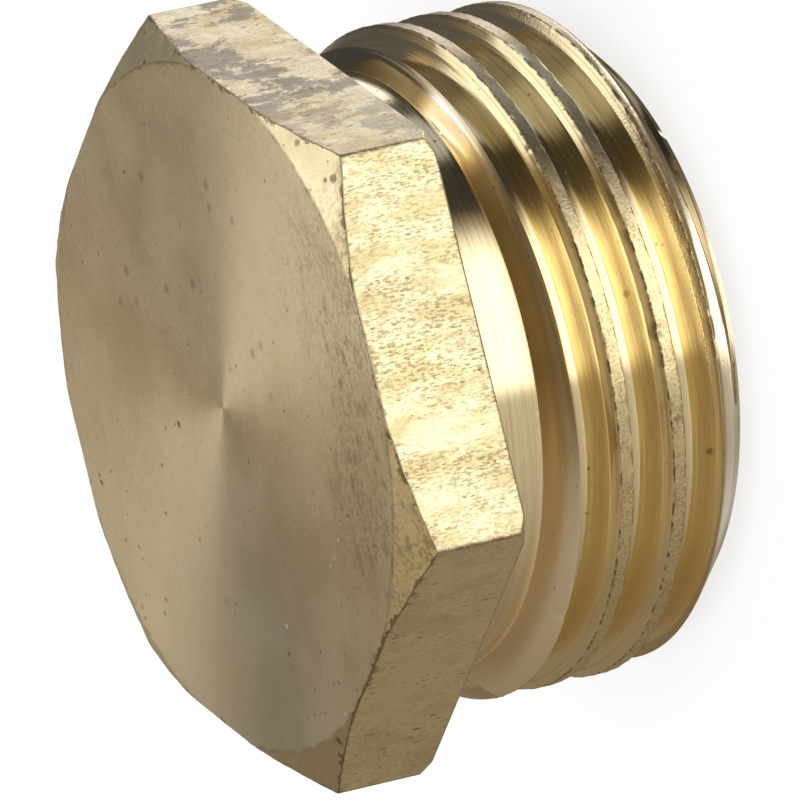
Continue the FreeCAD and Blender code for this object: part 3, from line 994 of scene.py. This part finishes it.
def buildStudio():
    mesh = bpy.data.meshes.new("floor")
    half, height = studio["half"], studio["height"]
    corners = [(-half, -half, height), (half, -half, height), (half, half, height), (-half, half, height)]
    mesh.from_pydata(corners, [], [(0, 1, 2, 3)])
    floor = addObject("floor", mesh)
    material, tree, shader = newMaterial("paper")
    fill(tree, shader, {"Base Color": studio["floor"], "Roughness": 1.0, "Specular IOR Level": 0.0})
    rays = tree.nodes.new("ShaderNodeLightPath").outputs
    seen = larger(tree, rays["Is Glossy Ray"], rays["Is Transmission Ray"])
    seen = larger(tree, rays["Is Camera Ray"], seen)
    white = tree.nodes.new("ShaderNodeEmission")
    blend = tree.nodes.new("ShaderNodeMixShader")
    wire(tree, times(tree, seen, studio["lift"]), blend.inputs[0])
    wire(tree, shader.outputs[0], blend.inputs[1])
    wire(tree, white.outputs[0], blend.inputs[2])
    wire(tree, blend.outputs[0], tree.nodes["Material Output"].inputs[0])
    mesh.materials.append(material)
    floor.visible_glossy = False
    world = bpy.data.worlds.new("studio")
    bpy.context.scene.world = world
    world.use_nodes = True
    sky = world.node_tree.nodes["Background"]
    sky.inputs["Color"].default_value = (1, 1, 1, 1)
    sky.inputs["Strength"].default_value = studio["world"]
    lamp = bpy.data.lights.new("key", "SUN")
    lamp.energy = studio["key"]
    lamp.angle = math.radians(studio["keyAngle"])
    key = addObject("key", lamp)
    key.rotation_euler = (*(math.radians(angle) for angle in studio["keyTilt"]), 0)
    key.visible_glossy = False


# The light tent round the plug, which only shows in the metal: panels by azimuth and elevation in degrees, as
# (azimuth, half width, edge, elevation, half height, edge, level, tint)
tent = {
    "radius": 0.30,
    "base": (0.275, 0.228, 0.175),
    "panels": (
        (-118, 45, 45, 5, 38, 18, 0.66, (1.0, 0.97, 0.93)),       # left, fading out
        (-88, 70, 15, 48, 30, 5, 0.18, (1.0, 0.74, 0.46)),        # over the camera
        (0, 180, 1, 86, 19, 4, 0.46, (1.0, 0.82, 0.58)),          # ceiling
        (170, 60, 20, 60, 14, 6, 0.38, (1.0, 0.82, 0.58)),
        (-150, 60, 25, -78, 18, 6, 0.6, (1.0, 0.9, 0.75)),        # floor on the left
        (-65, 16, 5, -8, 34, 9, 1.25, (1, 1, 1)),                 # white card in front
        (-83, 26, 4, -8, 34, 9, 1.95, (1, 1, 1)),
        (-28, 14, 2.5, 2, 43, 6, 0.04, (1, 1, 1)),                # gap beside it
        (-7.5, 6.5, 2.5, -14, 28, 6, 0.50, (0.92, 1.0, 1.22)),
        (12, 13, 3, -20, 24, 6, 0.11, (0.97, 1.0, 1.1)),
        (0, 11, 3, -21, 7, 2, 0.58, (0.92, 1.0, 1.25)),
        (19, 9, 3, -12, 6, 2, 0.36, (0.92, 1.0, 1.22)),
        (10, 21, 3, 37, 21, 5, 1.35, (1, 1, 1)),                  # window light from the right
        (39, 13, 3, -28, 16, 5, 1.8, (1.0, 0.98, 1.08)),
        (26, 28, 2, -47, 10, 2, 3.0, (1.0, 1.0, 1.02)),
        (57, 15, 4, 18, 20, 4, 0.13, (1, 1, 1)),
        (88, 10, 6, 20, 16, 6, 0.40, (1, 1, 1)),
        (58, 30, 4, 57, 14.5, 3, 1.45, (1, 1, 1)),                # behind and above
        (72, 10, 3, -46, 9, 3, 0.10, (1, 1, 1)),                  # below the end
        (86, 12, 3, -62, 7, 3, 2.3, (1, 1, 1)),
        (101, 4, 3, -50, 12, 3, 0.6, (1, 1, 1)),
    ),
}


def makePanel():
    inputs = {
        "Azimuth": 0, "Elevation": 0,
        "At": 0, "Wide": 10, "Side": 1,
        "Level": 0, "High": 10, "Rim": 1,
    }
    group, inn, out = newGroup("panel", inputs, ("Mask",))

    def inside(apart, half, soft):
        low, high = minus(group, inn[half], inn[soft]), plus(group, inn[half], inn[soft])
        return ease(group, calc(group, "ABSOLUTE", apart), low, high, 1.0, 0.0)

    apart = calc(group, "WRAP", minus(group, inn["Azimuth"], inn["At"]), 180.0, -180.0)
    above = minus(group, inn["Elevation"], inn["Level"])
    wire(group, times(group, inside(apart, "Wide", "Side"), inside(above, "High", "Rim")), out["Mask"])
    return group


def buildTent():
    panel = makePanel()
    bpy.ops.mesh.primitive_ico_sphere_add(subdivisions=4, radius=tent["radius"], location=(0, 0, 0))
    piece = bpy.context.object
    piece.name = "lightTent"
    material, tree, surface = emptyMaterial("tentCloth")
    x, y, z = split(tree, vector(tree, "NORMALIZE", tree.nodes.new("ShaderNodeTexCoord").outputs["Object"]))
    azimuth = calc(tree, "DEGREES", calc(tree, "ARCTAN2", y, x))
    elevation = calc(tree, "DEGREES", calc(tree, "ARCSINE", z))
    colour = (*tent["base"], 1)
    for at, wide, side, level, high, rim, strength, tint in tent["panels"]:
        mask = useGroup(tree, panel, Azimuth=azimuth, Elevation=elevation, At=at, Wide=wide, Side=side,
                        Level=level, High=high, Rim=rim)["Mask"]
        colour = mixColour(tree, mask, colour, scaled(tint, strength))
    glow = tree.nodes.new("ShaderNodeEmission")
    wire(tree, colour, glow.inputs["Color"])
    wire(tree, glow.outputs[0], surface)
    material.cycles.emission_sampling = "NONE"
    piece.data.materials.append(material)
    piece.visible_camera = piece.visible_diffuse = piece.visible_shadow = piece.visible_transmission = False
    piece.visible_volume_scatter = False


buildStudio()
buildTent()
print("studio ready")

# Camera, metres and degrees
view = {
    "place": (-0.020716, -0.441385, 0.224676),
    "aim": (-0.000952, -0.000779, 0.007334),
    "roll": 102.6006,
    "lens": 730.957,          # millimetres, and so is the sensor's width
    "sensor": 36,
    "clipStart": 0.01,
}


def buildCamera():
    data = bpy.data.cameras.new("camera")
    data.sensor_width = view["sensor"]
    data.lens = view["lens"]
    data.clip_start = view["clipStart"]
    camera = addObject("camera", data)
    ahead = Vector(view["aim"]) - Vector(view["place"])
    turn = ahead.to_track_quat("-Z", "Y")
    camera.rotation_mode = "QUATERNION"
    camera.rotation_quaternion = turn @ Quaternion((0, 0, 1), -math.radians(view["roll"]))
    camera.location = view["place"]
    bpy.context.scene.camera = camera


buildCamera()
bpy.context.scene.view_settings.view_transform = "Standard"
